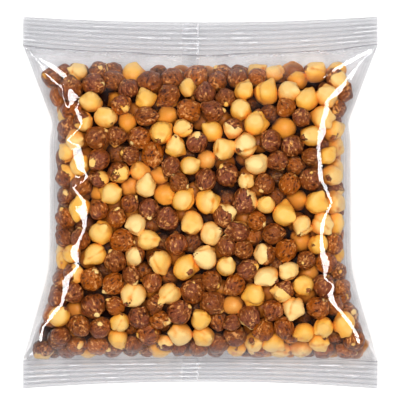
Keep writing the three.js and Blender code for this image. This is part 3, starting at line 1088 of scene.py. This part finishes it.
def new_material(name):
    material = bpy.data.materials.new(name)
    material.use_nodes = True
    material.node_tree.nodes.clear()
    return material


def finish_with(tree, shader):
    output = tree.nodes.new("ShaderNodeOutputMaterial")
    tree.links.new(shader.socket, output.inputs["Surface"])


# %% [markdown]
# ## Roasted skin and bare kernel
# The skin is thin, brown to purple-brown, with fine wrinkles that catch the light; painted shade
# darkens their hollows, and a pale coat on their ridges is partly scuffing and partly painted highlight.
# Where it has split, the kernel shows golden. A bare kernel is pale straw to deep gold, smooth and a
# little waxy. Painted light makes it paler on the crowns, and painted shade makes it darker and more
# orange in its hollows and where it turns away. Deeper in the heap, painted shade darkens kernel and
# skin to brown and nearly black. Each chickpea's own random tones shift the colours, and move the
# patterns, so that no two look alike.

# %% Colours of kernel and skin
def linear(red, green, blue):
    """A colour given as 0 to 255 on screen, as the light that Blender works with."""
    return tuple((value / 255) ** 2.2 for value in (red, green, blue)) + (1.0,)


KERNEL_COLOURS = {"pale": linear(255, 208, 126), "golden": linear(255, 190, 76)}
WARM_KERNEL = linear(254, 186, 72)
# Painted shade (orange, and brown deep in the heap) and painted light (pale crowns) on kernels.
SHADED_KERNEL = linear(236, 146, 50)
LIT_KERNEL = linear(255, 217, 146)
SHADOWED_KERNEL = linear(140, 72, 18)
SKIN_COLOURS = {"dark_brown": linear(142, 74, 30), "red_brown": linear(172, 88, 20)}
PURPLE_SKIN = linear(140, 74, 48)
WARM_SKIN = linear(186, 98, 20)
# Painted shade in wrinkles and deep in the heap; pale ridges are scuffing and painted highlight.
WRINKLE_SHADE = linear(58, 20, 2)
SCUFFED_AND_HIGHLIT_SKIN = linear(248, 174, 102)
SHADOWED_SKIN = linear(24, 5, 0)
print("kernel colours", list(KERNEL_COLOURS), "skin colours", list(SKIN_COLOURS))


# %% The bare kernel's coats
def kernel_colour(tree, kind, coarse, fine):
    """Coats over a pale kernel, as painted light. A share is noisy where its coat should have ragged edges.
    """
    tone, crease, sunk = (attribute(tree, name) for name in ("tone", "crease", "sunk"))
    base = KERNEL_COLOURS.get(kind, KERNEL_COLOURS["pale"])
    return painted(tree, LIT_KERNEL, [
        # Painted light: the kernel's own colour is half as strong on the crowns under the film, so they are
        # pale.
        (sunk.ramp(0.0, 0.45) * 0.55 + 0.45, base),
        # Warm patches, more on some chickpeas than on others.
        ((tone + (coarse - 0.5) * 1.2).ramp(0.2, 1.1) * 0.8, WARM_KERNEL),
        # Painted shade: orange in the cleft, round the beak's foot and in dents.
        ((crease + (coarse - 0.5) * 1.4).ramp(0.2, 1.1), SHADED_KERNEL),
        # Painted shade: orange, and lower down brown, where it turns away into the heap.
        ((sunk + (fine - 0.5) * 0.5).ramp(0.15, 0.9) * 0.9, SHADED_KERNEL),
        (sunk.ramp(0.75, 1.7) * 0.93, SHADOWED_KERNEL),
    ])


# %% The skin's coats
def skin_colour(tree, kind, coarse, fine, wrinkle):
    """Coats over dark or reddish skin."""
    warmth, crease, sunk = (attribute(tree, name) for name in ("warmth", "crease", "sunk"))
    base = SKIN_COLOURS.get(kind, SKIN_COLOURS["dark_brown"])
    return painted(tree, base, [
        # Purple and warm patches at random, with painted sheen (purpler crowns) and painted shade (warmer
        # sides).
        ((warmth * -0.6 + (coarse - 0.5) * 1.6 + sunk * -0.4 + 0.6).ramp(0.1, 0.7), PURPLE_SKIN),
        (((fine - 0.5) * 2.2 + warmth * 0.5 + sunk * 0.35 - 0.4).ramp(0.0, 0.7), WARM_SKIN),
        # Painted shade along the bottom of its wrinkles, and pale along their ridges: scuffs and painted
        # highlight.
        ((0.48 - wrinkle).ramp(0.0, 0.12) * 0.95, WRINKLE_SHADE),
        ((wrinkle + crease * 0.12).ramp(0.56, 0.66) * 0.85, SCUFFED_AND_HIGHLIT_SKIN),
        # Painted shade: nearly black down in the gaps.
        (sunk.ramp(0.6, 1.8) * 0.93, SHADOWED_SKIN),
    ])


# %% Skin over kernel
TONE_SHIFT, WARMTH_SHIFT = 61.0, 17.0
WRINKLE_HEIGHT = 1.1 * MM


def chickpea_material(kind):
    """The skin lies over the kernel where its share is high, with a ragged edge and a raised surface."""
    material = new_material(kind + "_chickpeas")
    tree = material.node_tree
    place = attribute(tree, "own_place", "Vector")
    shift = attribute(tree, "tone") * TONE_SHIFT + attribute(tree, "warmth") * WARMTH_SHIFT
    coarse, fine = noise(tree, place, shift, 1.4, 2.0), noise(tree, place, shift, 5.0, 3.0, 0.6)
    wrinkle = noise(tree, stretched(tree, place, ALONG_BEAK), shift, 4.4, 3.0, 0.7)

    covered = (attribute(tree, "skin") + (fine - 0.5) * 0.9).ramp(0.44, 0.52)
    kernel = kernel_colour(tree, kind, coarse, fine)
    skin = skin_colour(tree, kind, coarse, fine, wrinkle)
    colour = mix_colour(tree, covered, kernel, skin)
    roughness = 0.46 - covered * 0.1 + (fine - 0.5) * 0.3
    surface = bump(tree, 1.0, WRINKLE_HEIGHT, covered * (wrinkle * 1.1 + 0.3) + (fine - 0.5) * 0.15)
    finish_with(tree, principled(tree, colour, roughness, Normal=surface))
    return material


# %% The chickpeas
shape_draws = np.random.default_rng(SEED + 1)
chickpea_pieces = []
for kind in KINDS:
    piece = show(kind + "_chickpeas", joined_chickpeas(kind, shape_draws), chickpea_material(kind))
    chickpea_pieces.append(piece)

# %% [markdown]
# ## The dark middle
# The deepest chickpeas can't be seen. A dark spotted core fills their room as painted shade, so that
# no light or floor shows through the gaps between the outer ones. It is the bare film's form, drawn
# inwards.

# %% Core
CORE_DEPTH = 13 * MM
# Near-black painted shade, with dim brown spots, where the deeper chickpeas would lie.
CORE_SHADE, CORE_SHADE_SPOTS = linear(14, 5, 2), linear(44, 20, 8)
CORE_MIDDLE = Vector((0, -2 * MM, BAG_HEIGHT / 2))
CORE_LOW, CORE_HIGH = BOTTOM_LINE + 2 * MM, TOP_LINE - 5 * MM


def core_piece():
    """Cut the seals off the bare film, shrink it towards its middle and close its two ends."""
    bm = bare_film.copy()
    outside = [vert for vert in bm.verts if not CORE_LOW < vert.co.y < CORE_HIGH]
    bmesh.ops.delete(bm, geom=outside, context="VERTS")
    sides = (BAG_WIDTH / 2, BAG_LENGTH / 2, BAG_HEIGHT / 2)
    for vert in bm.verts:
        vert.co = CORE_MIDDLE + (vert.co - CORE_MIDDLE) * Vector([1 - CORE_DEPTH / side for side in sides])
    bmesh.ops.holes_fill(bm, edges=bm.edges, sides=0)
    bmesh.ops.recalc_face_normals(bm, faces=bm.faces)
    material = new_material("dark_shade_core")
    tree = material.node_tree
    colour = mix_colour(tree, noise(tree, object_place(tree), 0.0, 160.0), CORE_SHADE, CORE_SHADE_SPOTS)
    finish_with(tree, principled(tree, colour, 0.8, Specular_IOR_Level=0.0))
    piece = show("dark_shade_core", mesh_of(bm, "dark_shade_core"), material)


core_piece()

# %% [markdown]
# ## The clear film
# Thin film hardly changes what is behind it, but its skin reflects like glass: weakly where it
# faces the camera and strongly where it turns away. A mirror-like shader is mixed over a transparent
# one by that angle. Film that touches no chickpea is slack and finely crinkled, so it holds back more
# light and looks greyer. So do the seals, where two welded layers are ribbed. The feet of the ribs
# and the creases are darkened with painted shade, their crests carry short painted gleams, and small
# painted highlights lie where the film crinkles just inside. Each of these shares is worked out by
# itself, from marks on the film's points.

# %% How slack the film is, and how far from the bag's side
SLACK_START, SLACK_FULL = 1.5 * MM, 4.5 * MM


def add_mark(mesh, name, values):
    mark = mesh.attributes.new(name, "FLOAT", "POINT")
    mark.data.foreach_set("value", values)


def mark_film(mesh):
    """Mark how far each point of the film is from the nearest chickpea and from the bag's side."""
    points = np.zeros(len(mesh.vertices) * 3)
    mesh.vertices.foreach_get("co", points)
    points = points.reshape(-1, 3)
    gap = np.zeros(len(points))
    for start in range(0, len(points), CHUNK):
        away = np.linalg.norm(points[start:start + CHUNK, None] - centres[None], axis=2)
        gap[start:start + CHUNK] = np.min(away - radii, axis=1)
    add_mark(mesh, "slack", smooth_step(SLACK_START, SLACK_FULL, gap))
    from_side = half_width(np.clip(points[:, 1], BOTTOM_LINE, TOP_LINE)) - np.abs(points[:, 0])
    add_mark(mesh, "edge", from_side / MM)
    print("slack film", round(float(np.mean(gap > SLACK_START)), 2))


film_mesh = mesh_of(film, "clear_film")
mark_film(film_mesh)

# %% Tints and patterns
FILM_TINT = (0.965, 0.965, 0.97, 1.0)
SMOKY_TINT = (0.36, 0.36, 0.38, 1.0)
MIRROR_COLOUR = (0.95, 0.95, 0.96, 1.0)
HAZE_COLOUR = linear(196, 196, 203)
# White for the painted highlights on the film, and for the back seam's haze.
BRIGHT_COLOUR = linear(252, 252, 254)
CRINKLE_STRETCH, CRINKLE_HEIGHT = (0.4, 1.6, 1.0), 0.4 * MM
GLEAM_STRETCH = (0.4, 0.7, 0.0)
SIDE_CREASES = (0.5, 1.5, 2.6)
SEAM_MIDDLE, SEAM_REACH = -4.4 * MM, 5 * MM
print("creases along the sides at", SIDE_CREASES, "mm")


# %% Where the film is darker
def smoke_and_shade_share(tree, facing, welded):
    """How much light the film holds back, above all where it is slack or slanting; creases get painted
    shade.
    """
    slack, edge, rib = (attribute(tree, name) for name in ("slack", "edge", "rib"))
    # Painted shade in fine creases along the sides, a third of a millimetre to either side of each place.
    side_lines = sum(((edge - place_in) * 3.0).math("ABSOLUTE").ramp(0.0, 1.0) * -0.2 + 0.2
                     for place_in in SIDE_CREASES)
    at_side = (1 - edge.ramp(2.0, 9.0)) * 0.05
    between_seals = (side_lines + at_side) * (1 - welded)
    # Painted shade at the feet of the ribs, and in the crease along the seal's inner line.
    in_seals = rib.ramp(0.4, 1.0) * 0.2 + rib.ramp(1.0, 2.0) * 0.3
    return slack * 0.09 + facing * 0.2 + between_seals + in_seals


# %% Where the film is painted white, as highlights
def painted_gleam_share(tree, welded, crinkled):
    """Painted highlights: gleams along the crests of the ribs, most over the back seam, and spots in the
    crinkles.
    """
    place, rib = object_place(tree), attribute(tree, "rib")
    off_seam = ((across_bag(tree) - SEAM_MIDDLE) * (1 / SEAM_REACH)).math("ABSOLUTE").ramp(0.4, 1.0)
    streaks = noise(tree, stretched(tree, place, GLEAM_STRETCH), 3.0, 250.0, 1.0)
    gleams = (streaks + (1 - off_seam) * 0.16).ramp(0.5, 0.66)
    spots = noise(tree, stretched(tree, place, CRINKLE_STRETCH), 5.0, 420.0, 2.0).ramp(0.53, 0.6)
    crest = (rib * -1.0).ramp(0.5, 1.0)
    return crest * welded * (gleams * 0.6 + 0.12) + spots * crinkled * attribute(tree, "slack") * 0.6


# %% Film
def film_material():
    """Clear film, darkened, hazed and whitened by their shares, under a mirror that grows at a slant."""
    material = new_material("clear_film")
    tree = material.node_tree
    facing = add_node(tree, "ShaderNodeLayerWeight", {}, {"Blend": 0.5}, "Facing")
    seal = attribute(tree, "seal")
    welded = seal.ramp(0.9, 1.0)
    crinkled = seal - welded
    crinkles = noise(tree, stretched(tree, object_place(tree), CRINKLE_STRETCH), 0.0, 320.0, 3.0, 0.6)
    surface = bump(tree, 0.5, CRINKLE_HEIGHT, crinkles * crinkled)

    through = mix_shader(tree, smoke_and_shade_share(tree, facing, welded),
                         see_through(tree, FILM_TINT), see_through(tree, SMOKY_TINT))
    haze = principled(tree, HAZE_COLOUR, 0.4, Specular_IOR_Level=0.2, Normal=surface)
    haze_share = attribute(tree, "slack") * 0.02 + welded * 0.04 + facing * welded * 0.3
    hazy = mix_shader(tree, haze_share, through, haze)
    # Painted highlights: a white diffuse shader, mixed in at the gleams and crinkle spots.
    bright = add_node(tree, "ShaderNodeBsdfDiffuse", {}, {"Color": BRIGHT_COLOUR, "Normal": surface})
    whitened = mix_shader(tree, painted_gleam_share(tree, welded, crinkled), hazy, bright)
    mirror = principled(tree, MIRROR_COLOUR, 0.035, Metallic=1.0, Normal=surface)
    mirror_share = facing ** 5.0 * 0.8 + welded * 0.05 + 0.02
    finish_with(tree, mix_shader(tree, mirror_share, whitened, mirror))
    return material


film_piece = show("clear_film", film_mesh, film_material())

# %% [markdown]
# ## The back seam
# The tube was made by sealing a sheet's two long edges together down the middle of the back. That
# seam is a flat strip of two layers, folded against the underside. It is a long thin box, bent to the
# form of the film above it.

# %% The back seam's finish
SEAM_LEFT, SEAM_RIGHT = -7.3 * MM, -0.7 * MM
SEAM_TINT = (0.988, 0.988, 0.99, 1.0)
STREAK_STRETCH = (0.3, 2.0, 1.0)
print("seam width", round((SEAM_RIGHT - SEAM_LEFT) / MM, 1), "mm")


def seam_material():
    """Almost clear, with faint streaks across it and a pale lip along its right edge."""
    material = new_material("back_seam")
    tree = material.node_tree
    streaks = stretched(tree, object_place(tree), STREAK_STRETCH)
    haze = principled(tree, BRIGHT_COLOUR, noise(tree, streaks, 0.0, 300.0) * 0.3 + 0.3)
    lip = ((across_bag(tree) - SEAM_RIGHT) * (1 / MM) + 0.9).ramp(0.0, 0.4)
    share = noise(tree, streaks, 0.0, 500.0).ramp(0.45, 0.7) * 0.12 + lip * 0.14 + 0.03
    finish_with(tree, mix_shader(tree, share, see_through(tree, SEAM_TINT), haze))
    return material


# %% Back seam
SEAM_THICKNESS, SEAM_SINK = 0.3 * MM, 0.05 * MM
SEAM_STEPS, SEAM_COLUMNS = 60, 4
SEAM_END_GAP, SEAM_FLOOR_GAP = 3 * MM, 0.1 * MM


def seam_piece():
    """A grid laid under the film by rays from below, thickened to a strip."""
    bm = bmesh.new()
    bmesh.ops.create_grid(bm, x_segments=SEAM_COLUMNS, y_segments=SEAM_STEPS, size=1)
    for vert in bm.verts:
        x = blend_of(SEAM_LEFT, SEAM_RIGHT, (vert.co.x + 1) / 2)
        y = blend_of(BOTTOM_EDGE + SEAM_END_GAP, TOP_EDGE - SEAM_END_GAP, (vert.co.y + 1) / 2)
        place, _, _, _ = film_tree.ray_cast(Vector((x, y, -BAG_HEIGHT)), Vector((0, 0, 1)))
        vert.co = (x, y, max(place.z + SEAM_SINK, SEAM_THICKNESS + SEAM_FLOOR_GAP))
    bmesh.ops.reverse_faces(bm, faces=bm.faces)
    bmesh.ops.solidify(bm, geom=bm.faces[:] + bm.edges[:] + bm.verts[:], thickness=SEAM_THICKNESS)
    bmesh.ops.recalc_face_normals(bm, faces=bm.faces)
    piece = show("back_seam", mesh_of(bm, "back_seam", False), seam_material())


seam_piece()

# %% [markdown]
# ## Floor and studio light
# The photo's background is plain white. The floor is a wide pale sheet, and a lamp of its own lifts
# it to white. A large soft lamp above lights the whole bag. Two lamps give the chickpeas highlights, a
# small one sharp sparkles and a wider one a soft sheen. Two long strips at the left and right are
# there for the film: they draw the bright streaks along its shoulders. Light linking keeps each of
# these lamps to its own pieces. The world is dark overhead and pale at the horizon, so the film's
# front stays clear and its turned-away edges pick up a pale sheen.

# %% Floor
FLOOR_REACH = 3
FLOOR_COLOUR, FLOOR_MOTTLE = linear(246, 246, 246), linear(250, 250, 250)


def floor():
    bm = bmesh.new()
    bmesh.ops.create_grid(bm, x_segments=2, y_segments=2, size=FLOOR_REACH)
    material = new_material("floor")
    tree = material.node_tree
    tint = mix_colour(tree, noise(tree, object_place(tree), 0.0, 2.0), FLOOR_COLOUR, FLOOR_MOTTLE)
    finish_with(tree, principled(tree, tint, 0.9, Specular_IOR_Level=0.0))
    mesh = mesh_of(bm, "floor")
    mesh.materials.append(material)
    sheet = bpy.data.objects.new("floor", mesh)
    scene.collection.objects.link(sheet)
    return sheet


floor_sheet = floor()
print("floor", round(2 * FLOOR_REACH), "m wide")

# %% Lamps
BAG_MIDDLE = Vector((0, 0, 20 * MM))


def lamp(name, place, size, radiance, lit_pieces=(), diffuse=True, glossy=True):
    """An area lamp turned towards the bag. It lights everything, or only the pieces given."""
    data = bpy.data.lights.new(name, "AREA")
    data.shape = "RECTANGLE"
    data.size, data.size_y = size
    data.energy = radiance * math.pi * size[0] * size[1]
    body = bpy.data.objects.new(name, data)
    body.location = place
    body.rotation_euler = (BAG_MIDDLE - Vector(place)).to_track_quat("-Z", "Y").to_euler()
    body.visible_camera, body.visible_diffuse, body.visible_glossy = False, diffuse, glossy
    scene.collection.objects.link(body)
    if lit_pieces:
        lit = bpy.data.collections.new(name + "_lights")
        for piece in lit_pieces:
            lit.objects.link(piece)
        body.light_linking.receiver_collection = lit
    print(name, [round(value, 2) for value in place], "radiance", radiance)


lamp("soft_key", (0, 0.06, 1.3), (0.8, 0.8), 11.6, glossy=False)
lamp("floor_light", (0, -0.3, 1.6), (1.8, 1.8), 0.8, [floor_sheet], glossy=False)
lamp("sparkle", (0.08, 0.32, 1.2), (0.16, 0.16), 70.0, chickpea_pieces, diffuse=False)
lamp("sheen", (0, 0.1, 1.3), (0.5, 0.5), 2.4, chickpea_pieces, diffuse=False)
STRIP_OUT, STRIP_HEIGHT = 0.97, 0.72
for name, side in (("left_strip", -1), ("right_strip", 1)):
    lamp(name, (side * STRIP_OUT, 0, STRIP_HEIGHT), (4.0, 0.34), 45.0, [film_piece], diffuse=False)

# %% World
HORIZON_REACH = 0.45


def studio_world(overhead, horizon):
    """White light all round, pale at the horizon and dark from well above it."""
    world = bpy.data.worlds.new("studio")
    scene.world = world
    world.use_nodes = True
    tree = world.node_tree
    way = add_node(tree, "ShaderNodeTexCoord", {}, {}, "Generated")
    height = add_node(tree, "ShaderNodeSeparateXYZ", {}, {"Vector": way}, "Z")
    strength = horizon - height.ramp(0.0, HORIZON_REACH) * (horizon - overhead)
    background = tree.nodes["Background"]
    tree.links.new(strength.socket, background.inputs["Strength"])
    background.inputs["Color"].default_value = (1, 1, 1, 1)
    world.cycles_visibility.diffuse = False
    print("world strength", horizon, "to", overhead)


studio_world(0.04, 0.65)
scene.view_settings.view_transform = "Standard"
scene.cycles.use_denoising = True
